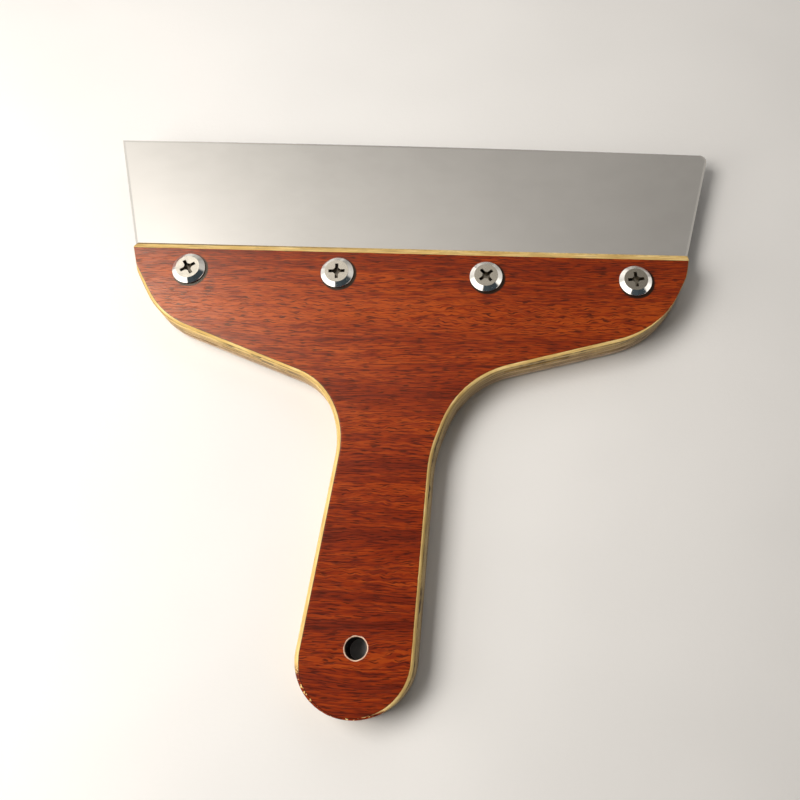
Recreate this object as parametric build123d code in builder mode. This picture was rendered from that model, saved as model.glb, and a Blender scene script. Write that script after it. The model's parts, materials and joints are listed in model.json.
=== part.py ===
"""Drywall taping knife: a thin steel blade clamped in the sawn front edge of a plywood handle.

The knife lies on its back. X runs along the cutting edge, Y from the butt of the grip to the
cutting edge, Z up through the board. The origin is the centre of the knife's outline, on the
surface that the nut heads stand on. All sizes are in millimetres.
"""
import os
from math import radians, tan

from build123d import *

# ---- driving dimensions ----
BLADE_WIDTH = 250.0  # along the cutting edge
OVERALL_LENGTH = 229.0  # cutting edge to butt
FRONT_Y = 62.9  # the handle's front edge, where the blade leaves it, at X = 0
FRONT_SKEW = 0.2  # degrees that the front edge is out of square with the grip
BLADE_THICKNESS = 0.7
BOARD_THICKNESS = 12.0
VENEER = 0.5  # each face veneer; the five plies between share the rest
PLY_COUNT = 5
ROUNDOVER = 2.2  # along the neck and the grip, dying out on the wings and the butt
EASING = 0.3  # every other long edge of the board
BEVEL_WIDTH = 3.1  # planed along the handle's front edge, measured on the face
BEVEL_DEPTH = 1.7
KERF_DEPTH = 25.0  # saw cut that takes the tang
TANG_GAP = 0.5  # between the tang and the bottom of the kerf
EDGE_CROWN = 0.8  # the cutting edge bows forward this much at its middle
BLADE_CORNER = 3.0  # the right front corner; the left one is left sharp
GRIND_WIDTH = 0.9  # fine bevel along the blade's three free edges, on both faces
GRIND_DEPTH = 0.14
BOLT_COUNT = 4
BOLT_PITCH = 59.0
BOLT_ROW_X = 2.9  # centre of the row of bolts
BOLT_ROW_Y = 50.55
BOLT_HOLE = 8.2
HANG_HOLE = 7.6
HANG_HOLE_AT = (-8.0, -91.6)
HANG_RIM = 0.25  # chamfer around both mouths of the hang hole
HEAD_DIAMETER = 13.0
HEAD_TOP = 9.4  # flat of the head, inside its bevel
HEAD_RIM = 0.5
HEAD_HEIGHT = 1.8
SHANK_DIAMETER = 5.9
THREAD_PITCH = 1.0
THREAD_DEPTH = 0.45
SHANK_LENGTH = 9.2
BARREL_DIAMETER = 8.0
BARREL_BORE = 6.0
BARREL_LENGTH = 11.0
BARREL_FLOOR = 1.2  # metal left under the head
LEAD_IN = 0.5  # chamfer on a shank's or barrel's free end
CORNER_ROUND = 0.18  # polished corners of a head
RECESS_SPAN = 6.4
RECESS_SLOT = 1.3
RECESS_CENTRE = 2.9
RECESS_DEPTH = 2.1
RECESS_TAPER = 12.0  # degrees

# The handle's outline from its front left corner round the butt to its front right corner:
# x, y, corner radius. The grip leans a few degrees, and the two wings differ by about a
# millimetre. The front corners themselves stand on the front edge, at these x.
FRONT_LEFT_X = -108.4
FRONT_RIGHT_X = 112.8
LEFT_TIP = [(-109.4, 60.2, 1.5), (-106.0, 48.9, 8.6), (-94.7, 29.4, 34.1)]
LEFT_NECK = [(-31.0, 5.5, 25.0), (-20.0, -11.9, 32.5)]
BUTT = [(-31.3, -113.4, 20.8), (12.3, -115.8, 20.8)]
RIGHT_NECK = [(15.3, -22.2, 45.0), (25.1, 7.6, 35.0)]
RIGHT_TIP = [(100.8, 28.9, 41.0), (112.0, 53.6, 18.0), (113.1, 61.0, 1.0)]

# The board is cut from a blank with rounded edges. The blank stands out past the board by this
# much, so that its rounding dies out along the wings and the butt.
LEFT_TIP_SPARE = 0.9  # sideways at the left wing's tip
RIGHT_TIP_SPARE = 3.5  # sideways at the right wing's tip
LEFT_CORNER_SPARE = 0.3  # below the left wing's lower corner
WING_SPARE = 0.6  # below the rest of the wings
BUTT_SPARE = 1.2  # below the butt
TIP_RUN_OUT = 30.0  # the blank's tips run on to beyond the front edge

# Where the blade's flanks leave the front edge, and the corners of its tang: x, y.
BLADE_ROOT_LEFT_X = -110.8
BLADE_ROOT_RIGHT_X = 113.5
TANG_LEFT = [(-98.0, 44.0), (-92.0, FRONT_Y - KERF_DEPTH + TANG_GAP)]
TANG_RIGHT = [(94.0, FRONT_Y - KERF_DEPTH + TANG_GAP), (100.0, 44.0)]

# Gaps under a ply's upper glue line, open at the board's edge: ply, place as a share of the
# outline's length, length along the edge, height.
VOIDS = [
    ("rear_cross_ply", 0.391, 14.0, 0.9),
    ("core_ply", 0.417, 17.0, 0.8),
    ("rear_cross_ply", 0.445, 12.0, 0.6),
    ("core_ply", 0.560, 12.0, 0.7),
    ("rear_cross_ply", 0.712, 10.0, 0.8),
    ("front_cross_ply", 0.884, 26.0, 1.1),
    ("rear_cross_ply", 0.928, 13.0, 0.7),
]
VOID_DEPTH = 2.5

# Each recess is turned as its bolt or nut happened to stop, in degrees.
BOLT_TURNS = (33.0, 3.0, 41.0, 6.0)
NUT_TURNS = (12.0, 50.0, 27.0, 71.0)

# ---- worked-out sizes ----
REAR_FACE = HEAD_HEIGHT
FRONT_FACE = REAR_FACE + BOARD_THICKNESS
MID_PLANE = (REAR_FACE + FRONT_FACE) / 2
EDGE_Y = OVERALL_LENGTH / 2
PLY = (BOARD_THICKNESS - 2 * VENEER) / PLY_COUNT
REACH = 300.0  # larger than the knife in every direction
along_front = Vector(1, 0, 0).rotate(Axis.Z, FRONT_SKEW)
across_front = Vector(0, 1, 0).rotate(Axis.Z, FRONT_SKEW)
MARGIN = 1.0  # tells the edges along one line from all the others
BOLT_AT = [
    (BOLT_ROW_X + (i - (BOLT_COUNT - 1) / 2) * BOLT_PITCH, BOLT_ROW_Y) for i in range(BOLT_COUNT)
]


def on_front_edge(x):
    """The point of the handle's front edge at this x."""
    return (x, FRONT_Y + x * tan(radians(FRONT_SKEW)))


def moved(corner, right, down):
    """An outline corner moved sideways and towards the butt, with its radius."""
    x, y, radius = corner
    return (x + right, y - down, radius)


def beyond(inner, outer, reach):
    """The point reach further along the line from inner through outer."""
    run = Vector(outer[0] - inner[0], outer[1] - inner[1]).normalized() * reach
    return (outer[0] + run.X, outer[1] + run.Y)


def write(part, name):
    """Label a finished piece and write it as parts/name.step."""
    part.label = name
    export_step(part, f"parts/{name}.step")


def edge_plane(outline, place, level):
    """A level plane on the outline, at this share of its length, with its X along the edge."""
    spot = outline.position_at(place)
    return Plane(
        origin=(spot.X, spot.Y, level),
        x_dir=outline.tangent_at(place),
        z_dir=(0, 0, 1),
    )


os.makedirs("parts", exist_ok=True)

# ---- the board, before it is told apart into its plies ----
corners = [
    (*on_front_edge(FRONT_LEFT_X), 0.0),
    *LEFT_TIP,
    *LEFT_NECK,
    *BUTT,
    *RIGHT_NECK,
    *RIGHT_TIP,
    (*on_front_edge(FRONT_RIGHT_X), 0.0),
]
blank_corners = [
    moved(LEFT_TIP[1], -LEFT_TIP_SPARE, 0),
    moved(LEFT_TIP[2], 0, LEFT_CORNER_SPARE),
    moved(LEFT_NECK[0], 0, WING_SPARE),
    LEFT_NECK[1],
    moved(BUTT[0], 0, BUTT_SPARE),
    moved(BUTT[1], 0, BUTT_SPARE),
    RIGHT_NECK[0],
    moved(RIGHT_NECK[1], 0, WING_SPARE),
    moved(RIGHT_TIP[0], 0, WING_SPARE),
    moved(RIGHT_TIP[1], RIGHT_TIP_SPARE, 0),
]
blank_points = [corner[:2] for corner in blank_corners]
past_left_tip = beyond(blank_points[1], blank_points[0], TIP_RUN_OUT)
past_right_tip = beyond(blank_points[-2], blank_points[-1], TIP_RUN_OUT)

with BuildPart() as rounded_blank:
    with BuildSketch(Plane.XY.offset(REAR_FACE)):
        with BuildLine():
            chain = FilletPolyline(
                past_left_tip,
                *blank_points[1:-1],
                past_right_tip,
                radius=[corner[2] for corner in blank_corners[1:-1]],
            )
            Line(chain @ 1, chain @ 0)
        make_face()
    extrude(amount=BOARD_THICKNESS)
    rims = rounded_blank.edges().filter_by(Plane.XY)
    fillet(rims.sort_by(Axis.Y)[:-2], radius=ROUNDOVER)  # all but the two that close it in front

with BuildPart() as board:
    with BuildSketch(Plane.XY.offset(REAR_FACE)) as plan:
        with BuildLine():
            FilletPolyline(
                *[corner[:2] for corner in corners],
                radius=[corner[2] for corner in corners],
                close=True,
            )
        make_face()
    extrude(amount=BOARD_THICKNESS)
    rims = board.edges().filter_by(Plane.XY)
    fillet(rims.sort_by(Axis.Y)[:-2], radius=EASING)  # all but the two along the front edge
    add(rounded_blank.part, mode=Mode.INTERSECT)
    # Planed front edge: the same bevel on both faces.
    with BuildSketch(Plane(origin=(0, FRONT_Y, 0), x_dir=across_front, z_dir=along_front)):
        with BuildLine():
            Polyline(
                (-REACH, REAR_FACE),
                (-BEVEL_WIDTH, REAR_FACE),
                (0, REAR_FACE + BEVEL_DEPTH),
                (0, FRONT_FACE - BEVEL_DEPTH),
                (-BEVEL_WIDTH, FRONT_FACE),
                (-REACH, FRONT_FACE),
                close=True,
            )
        make_face()
    extrude(amount=REACH / 2, both=True, mode=Mode.INTERSECT)
    # Bolt holes and hang hole.
    with BuildSketch(Plane.XY.offset(REAR_FACE)):
        with Locations(*BOLT_AT):
            Circle(BOLT_HOLE / 2)
        with Locations(HANG_HOLE_AT):
            Circle(HANG_HOLE / 2)
    extrude(amount=BOARD_THICKNESS, mode=Mode.SUBTRACT)
    mouths = board.edges().filter_by(GeomType.CIRCLE).filter_by(Plane.XY)
    hang_spot = Vector(*HANG_HOLE_AT, MID_PLANE)
    chamfer(mouths.sort_by_distance(hang_spot)[:2], length=HANG_RIM)
    # Saw kerf for the tang, right across the front edge.
    with BuildSketch(Plane.XY.offset(MID_PLANE - BLADE_THICKNESS / 2)):
        with Locations((0, FRONT_Y)):
            Rectangle(REACH, 2 * KERF_DEPTH)
    extrude(amount=BLADE_THICKNESS, mode=Mode.SUBTRACT)


LAYERS = [
    ("rear_face_veneer", VENEER),
    ("rear_outer_ply", PLY),
    ("rear_cross_ply", PLY),
    ("core_ply", PLY),
    ("front_cross_ply", PLY),
    ("front_outer_ply", PLY),
    ("front_face_veneer", VENEER),
]
plan_edge = plan.sketch.face().outer_wire()
level = REAR_FACE
for name, thickness in LAYERS:
    with BuildPart() as layer:
        with BuildSketch(Plane.XY.offset(level)):
            Rectangle(REACH, REACH)
        extrude(amount=thickness)
        add(board.part, mode=Mode.INTERSECT)
        for ply, place, length, height in VOIDS:
            if ply == name:
                mouth = edge_plane(plan_edge, place, level + thickness - height)
                with BuildSketch(mouth):
                    SlotOverall(length, 2 * VOID_DEPTH)
                extrude(amount=height, mode=Mode.SUBTRACT)
    write(layer.part, name)
    level += thickness

# ---- the blade ----
with BuildPart() as blade:
    with BuildSketch(Plane.XY.offset(MID_PLANE - BLADE_THICKNESS / 2)) as sheet:
        with BuildLine():
            left_corner = (-BLADE_WIDTH / 2, EDGE_Y - EDGE_CROWN)
            right_corner = (BLADE_WIDTH / 2, EDGE_Y - EDGE_CROWN)
            ThreePointArc(left_corner, (0, EDGE_Y), right_corner)
            Polyline(
                right_corner,
                on_front_edge(BLADE_ROOT_RIGHT_X),
                *reversed(TANG_RIGHT),
                *reversed(TANG_LEFT),
                on_front_edge(BLADE_ROOT_LEFT_X),
                left_corner,
            )
        make_face()
        fillet(sheet.vertices().sort_by(Axis.X)[-1], radius=BLADE_CORNER)
    extrude(amount=BLADE_THICKNESS)
    for face in blade.faces().filter_by(Axis.Z):
        free = [e for e in face.edges() if e.center().Y > FRONT_Y + MARGIN]
        chamfer(free, length=GRIND_WIDTH, length2=GRIND_DEPTH, reference=face)
    with BuildSketch(Plane.XY):
        with Locations(*BOLT_AT):
            Circle(BOLT_HOLE / 2)
    extrude(amount=FRONT_FACE, mode=Mode.SUBTRACT)
write(blade.part, "blade")


# ---- bolts and nuts ----
def cross_recess(seat):
    """A tapered cross recess with an open centre, cut down from the flat of a head."""
    with BuildPart() as recess:
        with BuildSketch(seat.offset(HEAD_HEIGHT)):
            Rectangle(RECESS_SPAN, RECESS_SLOT)
            Rectangle(RECESS_SLOT, RECESS_SPAN)
            Rectangle(RECESS_CENTRE, RECESS_CENTRE, rotation=45)
        extrude(amount=-RECESS_DEPTH, taper=RECESS_TAPER)
    return recess.part


def turned_piece(seat, points, radii, name):
    """A head and shank turned about the seat's axis, with a cross recess in its head."""
    side = Plane(origin=seat.origin, x_dir=seat.x_dir, z_dir=-seat.y_dir)
    recess = cross_recess(seat)
    with BuildPart() as piece:
        with BuildSketch(side):
            with BuildLine():
                FilletPolyline(*points, radius=radii, close=True)
            make_face()
        revolve(axis=Axis(seat.origin, seat.z_dir))
        add(recess, mode=Mode.SUBTRACT)
    write(piece.part, name)


HEAD = [
    (0, HEAD_HEIGHT),
    (HEAD_TOP / 2, HEAD_HEIGHT),
    (HEAD_DIAMETER / 2, HEAD_RIM),
    (HEAD_DIAMETER / 2, 0),
]
HEAD_ROUNDS = [0, CORNER_ROUND, CORNER_ROUND, 0]


def clamp_bolt(seat, name):
    """The thread is cut as plain rings, one for each turn."""
    outer = SHANK_DIAMETER / 2
    root = outer - THREAD_DEPTH
    shank = [(outer, 0), (outer, -THREAD_PITCH)]
    rings = int((SHANK_LENGTH - THREAD_PITCH - LEAD_IN) / THREAD_PITCH)
    for i in range(rings):
        top = -THREAD_PITCH * (i + 1)
        shank += [(root, top - THREAD_PITCH / 2), (outer, top - THREAD_PITCH)]
    shank += [
        (outer, LEAD_IN - SHANK_LENGTH),
        (outer - LEAD_IN, -SHANK_LENGTH),
        (0, -SHANK_LENGTH),
    ]
    turned_piece(seat, HEAD + shank, HEAD_ROUNDS + [0] * len(shank), name)


def barrel_nut(seat, name):
    """A sleeve closed by its head, bored for the bolt from its free end."""
    outer = BARREL_DIAMETER / 2
    bore = BARREL_BORE / 2
    sleeve = [
        (outer, 0),
        (outer, LEAD_IN - BARREL_LENGTH),
        (outer - LEAD_IN, -BARREL_LENGTH),
        (bore, -BARREL_LENGTH),
        (bore, -BARREL_FLOOR),
        (0, -BARREL_FLOOR),
    ]
    turned_piece(seat, HEAD + sleeve, HEAD_ROUNDS + [0] * len(sleeve), name)


for i, (x, y) in enumerate(BOLT_AT):
    front_turn = Vector(1, 0, 0).rotate(Axis.Z, BOLT_TURNS[i])
    rear_turn = Vector(1, 0, 0).rotate(Axis.Z, NUT_TURNS[i])
    front_seat = Plane(origin=(x, y, FRONT_FACE), x_dir=front_turn, z_dir=(0, 0, 1))
    rear_seat = Plane(origin=(x, y, REAR_FACE), x_dir=rear_turn, z_dir=(0, 0, -1))
    clamp_bolt(front_seat, f"clamp_bolt_{i + 1}")
    barrel_nut(rear_seat, f"barrel_nut_{i + 1}")
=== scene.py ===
"""Looks for the drywall taping knife: materials, soft studio light, floor and camera."""
import json
import math

import bmesh
import bpy
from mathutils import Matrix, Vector


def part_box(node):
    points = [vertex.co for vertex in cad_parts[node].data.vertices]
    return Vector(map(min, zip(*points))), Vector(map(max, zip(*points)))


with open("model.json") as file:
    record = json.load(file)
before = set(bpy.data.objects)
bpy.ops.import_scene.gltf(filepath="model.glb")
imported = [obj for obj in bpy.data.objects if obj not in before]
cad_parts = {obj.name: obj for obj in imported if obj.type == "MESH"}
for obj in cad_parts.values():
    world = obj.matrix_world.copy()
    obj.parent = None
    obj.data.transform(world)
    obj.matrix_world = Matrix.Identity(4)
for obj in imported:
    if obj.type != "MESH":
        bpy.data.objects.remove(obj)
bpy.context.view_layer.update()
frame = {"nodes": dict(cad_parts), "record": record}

MM = 0.001

# ---- places read from the frame ----
REAR_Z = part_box("rear_face_veneer")[0].z
FRONT_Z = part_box("front_face_veneer")[1].z
BUTT_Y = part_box("rear_face_veneer")[0].y
NUT_LOW, NUT_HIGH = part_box("barrel_nut_1")
HOLE = next(mount for mount in frame["record"]["mounts"] if mount["name"] == "hang_hole")
HOLE_X, HOLE_Y = (value / MM for value in HOLE["pos_m"][:2])
HOLE_R = HOLE["dims"]["r_mm"]
BOLTS = [f"clamp_bolt_{i}" for i in range(1, 5)]
NUTS = [f"barrel_nut_{i}" for i in range(1, 5)]

# ---- camera ----
CAMERA_HEIGHT = 295.4 * MM  # above the front face
CAMERA_OVER = (34.7 * MM, -100.8 * MM)
TILT = math.radians(18.7)  # from straight down, towards the blade
TURN = math.radians(1.78)  # the picture's right against the knife's X axis
LENS = 37.35
SHIFT_X = -0.1

# ---- colours, linear ----
WARM = (1.0, 0.948, 0.880, 1.0)  # daylight as the room gives it back
SKY = (0.86, 1.0, 1.12, 1.0)  # daylight straight from a window
DARK_ROOM = (0.028, 0.036, 0.041, 1.0)
BACKDROP = (0.74, 0.72, 0.69, 1.0)
STAIN_BLACK = (0.045, 0.006, 0.003, 1.0)
STAIN_DARK = (0.100, 0.010, 0.003, 1.0)
STAIN_MAROON = (0.150, 0.015, 0.005, 1.0)
STAIN_MID = (0.240, 0.026, 0.004, 1.0)
STAIN_LIGHT = (0.410, 0.066, 0.008, 1.0)
GOLD = [(0.60, 0.39, 0.130, 1.0), (0.76, 0.53, 0.19, 1.0), (0.93, 0.72, 0.34, 1.0)]
OLIVE = [(0.30, 0.16, 0.050, 1.0), (0.62, 0.39, 0.13, 1.0), (0.80, 0.55, 0.23, 1.0)]
TAN = [(0.36, 0.21, 0.085, 1.0), (0.67, 0.45, 0.20, 1.0), (0.86, 0.64, 0.34, 1.0)]
BROWN = [(0.22, 0.12, 0.050, 1.0), (0.46, 0.29, 0.13, 1.0), (0.66, 0.46, 0.23, 1.0)]
ROSY = [(0.42, 0.28, 0.180, 1.0), (0.62, 0.45, 0.30, 1.0), (0.80, 0.64, 0.46, 1.0)]
RIGHT_SIDE_SHADE = (0.25, 0.18, 0.085, 1.0)  # painted shade on the edges that face right
GLUE = (0.050, 0.026, 0.012, 1.0)
LACQUER = (1.0, 0.80, 0.55, 1.0)
# painted shadow around the heads
PAINTED_HEAD_SHADOW = (0.008, 0.003, 0.002, 1.0)
# painted shade on the hanging hole's wall
BORE_SHADE = (0.020, 0.010, 0.007, 1.0)
CHIPPED = (0.78, 0.56, 0.42, 1.0)
STEEL = [(0.63, 0.62, 0.60, 1.0), (0.65, 0.64, 0.62, 1.0)]
CHROME = [(0.80, 0.79, 0.765, 1.0), (0.72, 0.71, 0.68, 1.0)]
HEAD_FLAT = (0.68, 0.64, 0.56, 1.0)
# painted reflection: the flats' colour at the dim right-hand end
DIM_REFLECTION_FLAT = (0.35, 0.32, 0.27, 1.0)
# painted shade inside the head recesses
PAINTED_RECESS_SHADE = (0.30, 0.265, 0.215, 1.0)

# Stripes of the face veneer across the grain: place along Y, half width, strength.
DARK_STRIPES = [
    (56.0, 6.5, 0.7),
    (46.0, 2.0, 0.3),
    (22.0, 2.2, 0.5),
    (11.0, 2.0, 0.4),
    (2.0, 6.0, 0.9),
    (-26.5, 3.4, 0.7),
    (-53.0, 3.2, 0.9),
    (-75.0, 2.2, 0.7),
    (-84.5, 2.4, 0.9),
    (-103.0, 2.4, 0.7),
]
CURLY_STRIPES = [
    (34.0, 9.0, 1.0),
    (-12.0, 5.5, 0.9),
    (-38.0, 6.0, 0.9),
    (-66.0, 6.0, 1.0),
    (-94.0, 5.0, 0.8),
]


class Nodes:
    """Short calls that build one node tree. A value may be a number, a colour or a socket."""

    def __init__(self, tree):
        self.tree = tree
        tree.nodes.clear()

    def add(self, kind, **settings):
        node = self.tree.nodes.new(kind)
        for name, value in settings.items():
            setattr(node, name, value)
        return node

    def put(self, socket, value):
        if isinstance(value, bpy.types.NodeSocket):
            self.tree.links.new(value, socket)
        else:
            socket.default_value = value

    def math(self, operation, a, b=0.0, c=0.0, clamp=False):
        node = self.add("ShaderNodeMath", operation=operation, use_clamp=clamp)
        for socket, value in zip(node.inputs, (a, b, c)):
            self.put(socket, value)
        return node.outputs[0]

    def scaled(self, vector, factors):
        node = self.add("ShaderNodeVectorMath", operation="MULTIPLY")
        self.put(node.inputs[0], vector)
        self.put(node.inputs[1], factors)
        return node.outputs[0]

    def moved(self, vector, offset):
        node = self.add("ShaderNodeVectorMath", operation="ADD")
        self.put(node.inputs[0], vector)
        self.put(node.inputs[1], offset)
        return node.outputs[0]

    def split(self, vector):
        node = self.add("ShaderNodeSeparateXYZ")
        self.put(node.inputs[0], vector)
        return node.outputs

    def joined(self, x, y, z):
        node = self.add("ShaderNodeCombineXYZ")
        for socket, value in zip(node.inputs, (x, y, z)):
            self.put(socket, value)
        return node.outputs[0]

    def noise(self, vector, size, detail=2.0, roughness=0.5):
        """Noise whose features measure size along each axis, from about 0 to 1."""
        node = self.add("ShaderNodeTexNoise")
        self.put(node.inputs["Vector"], self.scaled(vector, tuple(1.0 / s for s in size)))
        self.put(node.inputs["Scale"], 1.0)
        self.put(node.inputs["Detail"], detail)
        self.put(node.inputs["Roughness"], roughness)
        return node.outputs[0]

    def fit(self, value, low, high, to_low=0.0, to_high=1.0, smooth=True):
        """The value's range from low to high, taken to to_low and to_high and held there."""
        kind = "SMOOTHSTEP" if smooth else "LINEAR"
        node = self.add("ShaderNodeMapRange", interpolation_type=kind)
        for socket, number in zip(node.inputs, (value, low, high, to_low, to_high)):
            self.put(socket, number)
        return node.outputs[0]

    def mix(self, factor, a, b, blend="MIX"):
        node = self.add("ShaderNodeMix", data_type="RGBA", blend_type=blend)
        self.put(node.inputs[0], factor)
        self.put(node.inputs[6], a)
        self.put(node.inputs[7], b)
        return node.outputs[2]

    def ramp(self, value, stops):
        """A colour ramp of (place, colour) stops."""
        node = self.add("ShaderNodeValToRGB")
        points = node.color_ramp.elements
        while len(points) < len(stops):
            points.new(1.0)
        for point, (place, colour) in zip(points, stops):
            point.position = place
            point.color = colour
        self.put(node.inputs[0], value)
        return node.outputs[0]

    def bump(self, height, depth, normal=None):
        """Surface relief: height from 0 to 1, depth in metres."""
        node = self.add("ShaderNodeBump")
        self.put(node.inputs["Height"], height)
        self.put(node.inputs["Distance"], depth)
        self.put(node.inputs["Strength"], 1.0)
        if normal is not None:
            self.put(node.inputs["Normal"], normal)
        return node.outputs[0]

    def place_mm(self):
        """Where the surface is in the knife's own frame, in millimetres."""
        coords = self.add("ShaderNodeTexCoord")
        return self.scaled(coords.outputs["Object"], (1000.0, 1000.0, 1000.0))

    def facing(self):
        """The surface's own outward direction, without any bump."""
        return self.split(self.add("ShaderNodeNewGeometry").outputs["Normal"])

    def surface(self, **values):
        shader = self.add("ShaderNodeBsdfPrincipled")
        for name, value in values.items():
            self.put(shader.inputs[name.replace("_", " ")], value)
        output = self.add("ShaderNodeOutputMaterial")
        self.put(output.inputs["Surface"], shader.outputs[0])


def grey(level):
    return (level, level, level, 1.0)


def new_material(name):
    material = bpy.data.materials.new(name)
    material.use_nodes = True
    return material, Nodes(material.node_tree)


def paint(name, material):
    for place in frame["nodes"][name].material_slots:
        place.material = material


# ---- wood ----
def raw_wood(n, place, along, seed, shades):
    """Bare ply, streaky where the edge runs along the grain and pored across it."""
    dark, middle, light = shades
    spot = n.moved(place, (seed, 2.3 * seed, 0.0))
    normal = n.facing()
    across = n.math("POWER", n.math("ABSOLUTE", normal[0 if along == "X" else 1]), 2.0)
    streaks = n.noise(spot, (11.0, 11.0, 0.34), detail=4.0, roughness=0.62)
    pores = n.noise(spot, (0.6, 0.6, 0.30), detail=3.0, roughness=0.65)
    patches = n.noise(spot, (14.0, 14.0, 1.6), detail=3.0)
    grain = n.mix(n.fit(across, 0.15, 0.75, 0.1, 0.7), streaks, pores)
    colour = n.ramp(n.fit(grain, 0.30, 0.70), [(0.0, dark), (0.45, middle), (1.0, light)])
    colour = n.mix(n.fit(patches, 0.46, 0.68, 0.0, 0.75), colour, dark)
    # The sides that face right get painted shade, greyer and darker.
    colour = n.mix(n.fit(normal[0], 0.1, 0.6, 0.0, 0.55), colour, RIGHT_SIDE_SHADE)
    return colour, n.math("ADD", n.math("MULTIPLY", streaks, 0.5), n.math("MULTIPLY", pores, 0.5))


def stripes(n, y, places):
    """How far into any of these stripes a place is, from 0 to 1."""
    total = 0.0
    for middle, half_width, strength in places:
        away = n.math("ABSOLUTE", n.math("SUBTRACT", y, middle))
        total = n.math("MAXIMUM", total, n.fit(away, 0.3 * half_width, half_width, strength, 0.0))
    return total


def stained_grain(n, place, seed):
    """Ribbon-striped red veneer with its grain along X: colour and relief."""
    shift = (3.1 * seed, 1.7 * seed, 0.0)
    spot = n.moved(place, shift)
    drift = n.math("SUBTRACT", n.noise(spot, (70.0, 22.0, 400.0), detail=1.0), 0.5)
    ripple = n.math("SUBTRACT", n.noise(spot, (4.2, 2.4, 400.0), detail=1.0), 0.5)
    wander = n.math("MULTIPLY", drift, 7.0)
    x, y, _ = n.split(place)
    bent = n.math("ADD", y, wander)
    dark = stripes(n, bent, DARK_STRIPES)
    curly = stripes(n, bent, CURLY_STRIPES)
    bent = n.math("MULTIPLY_ADD", ripple, n.fit(curly, 0.0, 1.0, 0.55, 2.1), bent)
    grain = n.moved(n.joined(x, bent, 0.0), shift)
    patches = n.noise(grain, (60.0, 4.0, 1.0), detail=3.0, roughness=0.6)
    ribbons = n.noise(grain, (40.0, 1.5, 1.0), detail=2.0)
    lines = n.noise(grain, (9.0, 0.56, 1.0), detail=1.0)
    pores = n.noise(grain, (5.0, 0.38, 1.0), detail=1.0)
    # Painted light and shade: the board is painted a little lighter at its left end and darker in
    # the grip.
    tone = n.math("ADD", n.fit(x, -110.0, 50.0, 0.10, 0.0), n.fit(y, -60.0, 30.0, -0.07, 0.07))
    tone = n.math("MULTIPLY_ADD", n.fit(patches, 0.30, 0.70, smooth=False), 0.26, tone)
    tone = n.math("MULTIPLY_ADD", n.fit(ribbons, 0.30, 0.70, smooth=False), 0.24, tone)
    tone = n.math("MULTIPLY_ADD", n.fit(lines, 0.30, 0.54, smooth=False), 0.36, tone)
    tone = n.math("MULTIPLY_ADD", curly, 0.11, tone)
    tone = n.math("MULTIPLY_ADD", dark, -0.20, tone)
    colour = n.ramp(
        tone,
        [(0.12, STAIN_DARK), (0.32, STAIN_MAROON), (0.54, STAIN_MID), (0.86, STAIN_LIGHT)],
    )
    open_pores = n.fit(pores, 0.54, 0.62)
    colour = n.mix(n.math("MULTIPLY", open_pores, 0.80), colour, STAIN_BLACK)
    height = n.math("MULTIPLY_ADD", open_pores, -0.7, n.math("MULTIPLY", lines, 0.4))
    return colour, height


def distance_from(n, place, x, y):
    """How far a place is from an upright line, all in millimetres."""
    node = n.add("ShaderNodeVectorMath", operation="LENGTH")
    n.put(node.inputs[0], n.scaled(n.moved(place, (-x, -y, 0.0)), (1.0, 1.0, 0.0)))
    return node.outputs["Value"]


def depth_below(n, z, face_z, outward):
    """How far a height z is under a face that looks up (outward 1) or down (-1), in mm."""
    return n.math("MULTIPLY", n.math("SUBTRACT", face_z / MM, z), outward)


# In millimetres: the painted shadow ring is measured from a head's edge, the rest from the hole's
# wall.
HEAD_SHADOW_SHIFT = (0.60, -0.50)  # the painted shadow ring sits more at the lower right of a head
HEAD_SHADOW_RING = (0.2, 0.95)
SHADED_WALL = (0.02, 0.06)
BARE_RIM = (0.62, 0.72)
FLAKED_BACK = 0.5


def shadow_around_heads(n, place, names):
    """Painted shadow in a thin ring on the veneer around each head, from 0 to 1."""
    ring = 0.0
    for name in names:
        low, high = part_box(name)
        middle = (low + high) / 2 / MM
        edge = (high.x - low.x) / 2 / MM
        full, none = (edge + reach for reach in HEAD_SHADOW_RING)
        away = distance_from(n, place, middle.x + HEAD_SHADOW_SHIFT[0], middle.y + HEAD_SHADOW_SHIFT[1])
        ring = n.math("MAXIMUM", ring, n.fit(away, full, none, 1.0, 0.0))
    return ring


def shaded_bore_wall(n, place):
    """The hanging hole's wall below its chamfer, painted dark as shade, from 0 to 1."""
    away = distance_from(n, place, HOLE_X, HOLE_Y)
    return n.fit(away, HOLE_R + SHADED_WALL[0], HOLE_R + SHADED_WALL[1], 1.0, 0.0)


def chipped_rim(n, place):
    """The bare chamfer of the hanging hole with the lacquer flaked back a little, 0 to 1."""
    away = distance_from(n, place, HOLE_X, HOLE_Y)
    flaked = n.noise(place, (1.6, 1.6, 1.6), detail=2.0)
    away = n.math("MULTIPLY_ADD", flaked, FLAKED_BACK, away)
    return n.fit(away, HOLE_R + BARE_RIM[0], HOLE_R + BARE_RIM[1], 1.0, 0.0)


BUTT_ROUNDING = (-96.0, -101.0)  # in millimetres along Y


def butt_stain(n, place):
    """The stain that ran over the butt's rounding, chipped off here and there, from 0 to 1."""
    normal = n.facing()
    facing = n.fit(n.math("MULTIPLY_ADD", normal[1], 0.8, normal[0]), 0.0, -0.1)
    along = n.math("MULTIPLY", n.fit(n.split(place)[1], *BUTT_ROUNDING), facing)
    chips = n.noise(n.moved(place, (5.0, 0.0, 0.0)), (1.3, 1.3, 1.3), detail=2.0)
    return n.math("MULTIPLY", along, n.fit(chips, 0.65, 0.60))


STAIN_DEPTH = (0.05, 0.008)  # millimetres at edges that face left, and right


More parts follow.
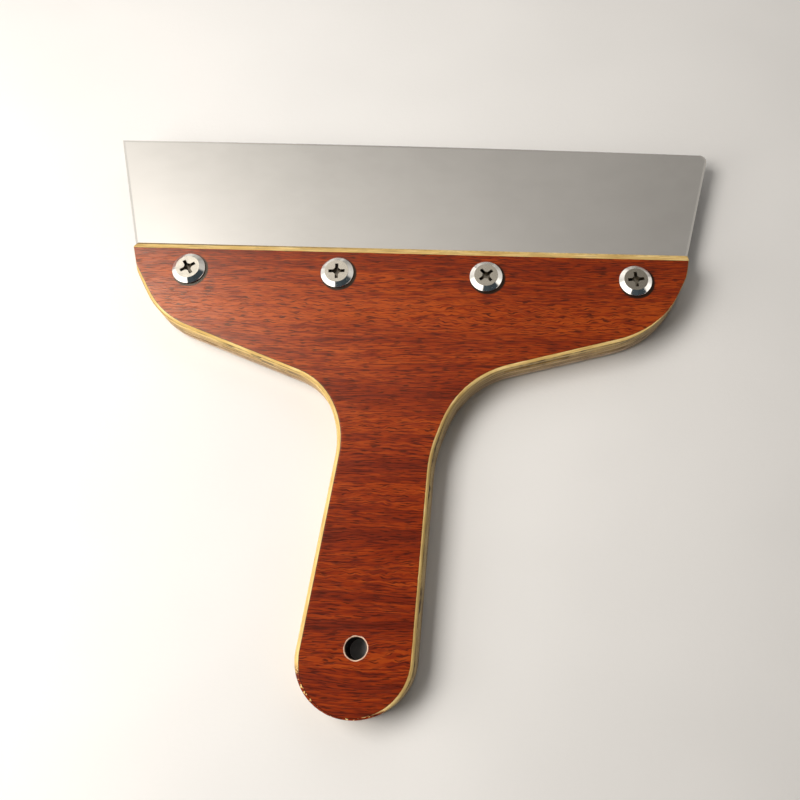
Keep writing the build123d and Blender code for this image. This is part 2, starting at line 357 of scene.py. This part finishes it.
def veneer_material(name, face_z, outward, seed, fasteners):
    """Stained and lacquered on its face; the stain is only skin deep, so cut edges are bare."""
    material, n = new_material(name)
    place = n.place_mm()
    side = n.facing()[0]
    _, y, z = n.split(place)
    depth = depth_below(n, z, face_z, outward)
    ragged = n.noise(place, (1.1, 1.1, 1.1), detail=2.0)
    depth = n.math("MULTIPLY_ADD", n.math("SUBTRACT", ragged, 0.5), 0.02, depth)
    # The edges that face right were sanded harder, so less of the stain is left.
    skin = n.fit(side, -0.02, 0.06, *STAIN_DEPTH)
    below_skin = n.math("SUBTRACT", depth, skin)
    bare = n.fit(below_skin, 0.0, 0.03)
    rim = n.math("MULTIPLY", n.fit(below_skin, -0.04, -0.01), n.fit(below_skin, 0.05, 0.02))
    rim = n.math("MULTIPLY", rim, n.fit(side, 0.05, -0.05, 0.3, 1.0))
    stained, grain = stained_grain(n, place, seed)
    ring = shadow_around_heads(n, place, fasteners)
    stained = n.mix(n.math("MULTIPLY", rim, 0.9), stained, STAIN_BLACK)
    # Painted shadow around the heads, strongest at their lower right.
    stained = n.mix(ring, stained, PAINTED_HEAD_SHADOW)
    bare = n.math("MULTIPLY", bare, n.math("SUBTRACT", 1.0, butt_stain(n, place)))
    raw, _ = raw_wood(n, place, "X", seed, GOLD)
    colour = n.mix(bare, stained, raw)
    colour = n.mix(chipped_rim(n, place), colour, CHIPPED)
    # Painted shade on the hanging hole's wall.
    colour = n.mix(shaded_bore_wall(n, place), colour, BORE_SHADE)
    wear = n.noise(place, (22.0, 6.0, 22.0), detail=3.0)
    roughness = n.fit(wear, 0.35, 0.65, 0.33, 0.39)
    # The hand has worn the lacquer on the grip.
    shine = n.fit(y, -50.0, 25.0, 0.15, 0.31)
    n.surface(
        Base_Color=colour,
        Roughness=n.math("MULTIPLY_ADD", bare, 0.3, roughness),
        Normal=n.bump(grain, 0.03 * MM),
        IOR=1.45,
        Specular_IOR_Level=shine,
        Specular_Tint=LACQUER,
    )
    return material


# Millimetres.
GLUE_WIDTH = (0.22, 1.3)  # of a sound line, and where the wood has torn out
STAINED_TOP = (11.4, 12.0)  # no stain below the first height, full above the second
BEVEL_FOOT_SHADE = (12.35, 12.65)  # painted shade below the first height, none above the second


def ply_material(name, node, along, seed, shades):
    """One ply's sawn edge, with dark glue lines where it meets its neighbours."""
    material, n = new_material(name)
    place = n.place_mm()
    low, high = (corner.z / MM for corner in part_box(node))
    x, _, z = n.split(place)
    wander = n.math("SUBTRACT", n.noise(place, (5.0, 5.0, 5.0), detail=2.0), 0.5)
    z = n.math("MULTIPLY_ADD", wander, 0.25, z)
    from_low = n.math("SUBTRACT", z, low)
    from_high = n.math("SUBTRACT", high, z)
    seam = n.math("MINIMUM", from_low, from_high)
    torn = n.noise(n.moved(place, (seed, 0.0, 0.0)), (9.0, 9.0, 30.0), detail=2.0)
    width = n.fit(torn, 0.50, 0.64, *GLUE_WIDTH)
    glue = n.fit(n.math("DIVIDE", seam, width), 0.35, 1.0, 1.0, 0.0)
    patchy = n.fit(n.noise(place, (6.0, 6.0, 30.0), detail=2.0), 0.35, 0.60, 0.3, 0.9)
    colour, fibres = raw_wood(n, place, along, seed, shades)
    # The glue lines are fainter on edges that face left and on those that face the front.
    normal = n.facing()
    glue = n.math("MULTIPLY", glue, n.fit(normal[0], -0.75, -0.55, 0.15, 1.0))
    glue = n.math("MULTIPLY", glue, n.fit(normal[1], 0.1, 0.3, 1.0, 0.25))
    colour = n.mix(n.math("MULTIPLY", glue, patchy), colour, GLUE)
    stain = n.math("MULTIPLY", butt_stain(n, place), n.fit(z, *STAINED_TOP))
    colour = n.mix(stain, colour, STAIN_DARK)
    # Painted shade at the foot of the front bevel, next to the blade, most of all at its left
    # end.
    foot_shade = n.math("MULTIPLY", n.fit(normal[1], 0.2, 0.4), n.fit(z, *BEVEL_FOOT_SHADE, 1.0, 0.0))
    dots = n.fit(n.noise(place, (1.2, 1.2, 1.2), detail=1.0), 0.40, 0.60)
    dotted = n.math("MULTIPLY", dots, n.fit(x, -90.0, 70.0, 0.10, 0.25))
    strength = n.math("ADD", dotted, n.fit(x, -95.0, 40.0, 0.75, 0.0))
    colour = n.mix(n.math("MULTIPLY", foot_shade, strength, clamp=True), colour, GLUE)
    # Painted shade on the hanging hole's wall.
    colour = n.mix(shaded_bore_wall(n, place), colour, BORE_SHADE)
    n.surface(Base_Color=colour, Roughness=0.62, Normal=n.bump(fibres, 0.08 * MM))
    return material


# ---- metal ----
def steel_material():
    """Cold-rolled stainless: nearly a mirror, with faint rolling lines along the edge."""
    material, n = new_material("blade_steel")
    place = n.place_mm()
    lines = n.noise(place, (30.0, 0.22, 4.0), detail=3.0, roughness=0.65)
    clouds = n.noise(place, (16.0, 11.0, 8.0), detail=3.0, roughness=0.55)
    smears = n.noise(place, (40.0, 18.0, 8.0), detail=2.0)
    roughness = n.fit(clouds, 0.3, 0.7, 0.145, 0.165)
    relief = n.bump(lines, 0.0006 * MM)
    relief = n.bump(smears, 0.003 * MM, relief)
    colour = n.mix(n.fit(clouds, 0.3, 0.7), *STEEL)
    n.surface(Base_Color=colour, Metallic=1.0, Roughness=roughness, Normal=relief)
    return material


RECESS_REACH = (3.5, 3.7)  # millimetres from the middle of a head
FLAT_REFLECTION_FADE = (-80.0, 85.0)  # millimetres along the row of heads, from bright to dim painted reflection


def chrome_material(name, heads, face_z, outward):
    """Polished plating, duller on the turned flats, whose painted reflection dims towards the
    right, with painted shade inside the recesses.
    """
    material, n = new_material(name)
    place = n.place_mm()
    x, _, z = n.split(place)
    haze = n.noise(place, (1.8, 1.8, 1.8), detail=3.0)
    ripple = n.noise(place, (2.6, 2.6, 2.6), detail=1.0)
    roughness = n.fit(haze, 0.35, 0.7, 0.07, 0.16)
    colour = n.mix(n.fit(haze, 0.3, 0.7), *CHROME)
    flat = n.fit(n.math("ABSOLUTE", n.facing()[2]), 0.93, 0.98)
    # Painted reflection: the flats are painted dimmer towards the right.
    reflection_fade = n.math("POWER", n.fit(x, *FLAT_REFLECTION_FADE, smooth=False), 1.8)
    colour = n.mix(flat, colour, n.mix(reflection_fade, HEAD_FLAT, DIM_REFLECTION_FLAT))
    roughness = n.math("MULTIPLY_ADD", flat, 0.16, roughness)
    inside = 0.0
    for head in heads:
        low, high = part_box(head)
        middle = (low + high) / 2 / MM
        away = distance_from(n, place, middle.x, middle.y)
        inside = n.math("MAXIMUM", inside, n.fit(away, *RECESS_REACH, 1.0, 0.0))
    # Painted shade inside the recesses, below the head's face.
    depth = depth_below(n, z, face_z, outward)
    recess_shade = n.math("MULTIPLY", inside, n.fit(depth, 0.08, 0.35))
    colour = n.mix(recess_shade, colour, PAINTED_RECESS_SHADE)
    roughness = n.math("MULTIPLY_ADD", recess_shade, 0.2, roughness)
    n.surface(
        Base_Color=colour, Metallic=1.0, Roughness=roughness, Normal=n.bump(ripple, 0.02 * MM)
    )
    return material


paint("blade", steel_material())
paint("front_face_veneer", veneer_material("red_veneer_front", FRONT_Z, 1.0, 11.0, BOLTS))
paint("rear_face_veneer", veneer_material("red_veneer_rear", REAR_Z, -1.0, 47.0, NUTS))
PLIES = [
    ("rear_outer_ply", "X", ROSY),
    ("rear_cross_ply", "Y", BROWN),
    ("core_ply", "X", TAN),
    ("front_cross_ply", "Y", OLIVE),
    ("front_outer_ply", "X", GOLD),
]
for number, (node, along, shades) in enumerate(PLIES):
    paint(node, ply_material(f"{node}_edge", node, along, 7.0 * number + 3.0, shades))
bolt_chrome = chrome_material("bolt_chrome", BOLTS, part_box("clamp_bolt_1")[1].z, 1.0)
nut_chrome = chrome_material("nut_chrome", NUTS, NUT_LOW.z, -1.0)
for bolt, nut in zip(BOLTS, NUTS):
    paint(bolt, bolt_chrome)
    paint(nut, nut_chrome)


# ---- floor ----
FLOOR_REACH = 3.0
NUT_FLAT = 9.4 * MM
BUTT_EASING = 0.3 * MM
HEEL_Y = (NUT_LOW.y + NUT_HIGH.y - NUT_FLAT) / 2
FLOOR_SLOPE = (REAR_Z - NUT_LOW.z) / (BUTT_Y + BUTT_EASING - HEEL_Y)


def floor_height(y):
    """The knife lies on its nut heads and its butt, so the floor is not quite parallel to it."""
    return NUT_LOW.z + (y - HEEL_Y) * FLOOR_SLOPE


def make_floor():
    mesh = bpy.data.meshes.new("floor")
    shape = bmesh.new()
    corners = [(-1, -1), (1, -1), (1, 1), (-1, 1)]
    verts = [
        shape.verts.new((x * FLOOR_REACH, y * FLOOR_REACH, floor_height(y * FLOOR_REACH)))
        for x, y in corners
    ]
    shape.faces.new(verts)
    shape.to_mesh(mesh)
    shape.free()
    floor = bpy.data.objects.new("floor", mesh)
    bpy.context.scene.collection.objects.link(floor)
    material, n = new_material("floor_paper")
    place = n.place_mm()
    tooth = n.noise(place, (1.6, 1.6, 1.6), detail=2.0)
    cloud = n.noise(place, (90.0, 70.0, 90.0), detail=2.0)
    colour = n.mix(n.fit(cloud, 0.3, 0.7), grey(0.83), grey(0.86))
    n.surface(Base_Color=colour, Roughness=0.75, Normal=n.bump(tooth, 0.05 * MM))
    mesh.materials.append(material)


make_floor()


# ---- light ----
def area_light(name, at, aim, width, height, power, only_gloss_of=None):
    """A soft rectangle of light on every matt surface, or only the sheen of one piece."""
    lamp = bpy.data.lights.new(name, "AREA")
    lamp.shape = "RECTANGLE"
    lamp.size = width
    lamp.size_y = height
    lamp.energy = power
    lamp.color = (SKY if only_gloss_of else WARM)[:3]
    holder = bpy.data.objects.new(name, lamp)
    holder.location = at
    holder.rotation_euler = (Vector(aim) - Vector(at)).to_track_quat("-Z", "Y").to_euler()
    holder.visible_camera = False
    holder.visible_diffuse = only_gloss_of is None
    holder.visible_glossy = only_gloss_of is not None
    if only_gloss_of:
        lit = bpy.data.collections.new(f"lit_by_{name}")
        lit.objects.link(frame["nodes"][only_gloss_of])
        holder.light_linking.receiver_collection = lit
    bpy.context.scene.collection.objects.link(holder)


area_light("window", (-0.33, 0.0, 0.50), (0.0, 0.0, 0.0), 0.48, 0.33, power=3.55)
area_light("low_window", (-0.42, -0.14, 0.22), (-0.04, -0.02, 0.0), 0.30, 0.18, power=0.72)
area_light("far_window", (0.12, 0.60, 0.50), (0.05, 0.05, 0.0), 0.60, 0.50, power=1.0)
area_light(
    "sheen",
    (-0.33, 0.17, 0.42),
    (-0.08, 0.02, 0.0),
    0.15,
    0.15,
    power=3.1,
    only_gloss_of="front_face_veneer",
)

ROOM_LIGHT = 0.125  # what matt surfaces receive from the room
ROOM_SHINE = 1.12  # what polished surfaces show of it
FULL_SIDE = 1.6  # the top of the scale of ROOM_SIDES
# The room's brightness along X, and the share of it from the horizon to overhead.
ROOM_SIDES = [
    (-1.0, 0.90),
    (-0.6, 1.30),
    (-0.4, 1.52),
    (-0.33, 1.42),
    (-0.28, 1.17),
    (-0.2, 0.90),
    (-0.1, 0.77),
    (0.0, 0.65),
    (0.12, 0.55),
    (0.22, 0.43),
    (0.5, 0.60),
    (0.9, 1.00),
]
ROOM_HEIGHTS = [
    (0.0, 0.85),
    (0.2, 0.80),
    (0.45, 0.65),
    (0.78, 0.62),
    (0.82, 0.76),
    (0.845, 0.87),
    (0.88, 1.00),
]


def make_world():
    """A pale room: an even glow on matt surfaces, a shaped one in polished surfaces."""
    world = bpy.data.worlds.new("room")
    world.use_nodes = True
    world.cycles.sampling_method = "NONE"  # or each kind of ray would not keep to its own glow
    n = Nodes(world.node_tree)
    direction = n.add("ShaderNodeTexCoord").outputs["Generated"]
    x, y, z = n.split(direction)
    stops = [((place + 1) / 2, grey(level / FULL_SIDE)) for place, level in ROOM_SIDES]
    side = n.ramp(n.fit(x, -1.0, 1.0, smooth=False), stops)
    lean = n.math("MULTIPLY_ADD", x, -0.12, z)
    high = n.ramp(lean, [(place, grey(level)) for place, level in ROOM_HEIGHTS])
    high = n.mix(n.fit(x, -0.10, 0.16, 0.0, 0.9), high, grey(0.855))
    # The left of the room is brighter, up to a slanting edge.
    wall = n.math("ADD", n.math("MULTIPLY_ADD", y, 0.56, x), n.math("MULTIPLY", z, 0.046))
    panel = n.fit(wall, -0.055, -0.03, 1.24, 1.0)
    room = n.mix(1.0, n.mix(1.0, side, high, "MULTIPLY"), WARM, "MULTIPLY")
    # In front of the knife the room is dark, with a window on each side.
    left_window = n.math("MULTIPLY", n.fit(x, -0.2, -0.3), n.fit(z, 0.92, 0.82))
    windows = n.math("MAXIMUM", left_window, n.math("MULTIPLY", n.fit(x, 0.78, 0.86), 0.8))
    near = n.mix(windows, DARK_ROOM, WARM)
    gloss = n.add("ShaderNodeBackground")
    n.put(gloss.inputs["Color"], n.mix(n.fit(y, 0.12, 0.36), near, room))
    n.put(gloss.inputs["Strength"], n.math("MULTIPLY", panel, FULL_SIDE * ROOM_SHINE))
    matt = n.add("ShaderNodeBackground")
    n.put(matt.inputs["Color"], WARM)
    n.put(matt.inputs["Strength"], ROOM_LIGHT)
    backdrop = n.add("ShaderNodeBackground")
    n.put(backdrop.inputs["Color"], BACKDROP)
    rays = n.add("ShaderNodeLightPath")
    lit = n.add("ShaderNodeMixShader")
    n.put(lit.inputs[0], rays.outputs["Is Diffuse Ray"])
    n.put(lit.inputs[1], gloss.outputs[0])
    n.put(lit.inputs[2], matt.outputs[0])
    both = n.add("ShaderNodeMixShader")
    n.put(both.inputs[0], rays.outputs["Is Camera Ray"])
    n.put(both.inputs[1], lit.outputs[0])
    n.put(both.inputs[2], backdrop.outputs[0])
    output = n.add("ShaderNodeOutputWorld")
    n.put(output.inputs["Surface"], both.outputs[0])
    bpy.context.scene.world = world


make_world()
bpy.context.scene.view_settings.view_transform = "Standard"


# ---- camera ----
def make_camera():
    lens = bpy.data.cameras.new("camera")
    lens.sensor_width = 36.0
    lens.lens = LENS
    lens.shift_x = SHIFT_X
    lens.clip_start = 0.01
    lens.clip_end = 20.0
    camera = bpy.data.objects.new("camera", lens)
    look = Vector(
        (-math.sin(TURN) * math.sin(TILT), math.cos(TURN) * math.sin(TILT), -math.cos(TILT))
    )
    camera.location = (CAMERA_OVER[0], CAMERA_OVER[1], FRONT_Z + CAMERA_HEIGHT)
    camera.rotation_euler = look.to_track_quat("-Z", "Y").to_euler()
    bpy.context.scene.collection.objects.link(camera)
    bpy.context.scene.camera = camera


make_camera()
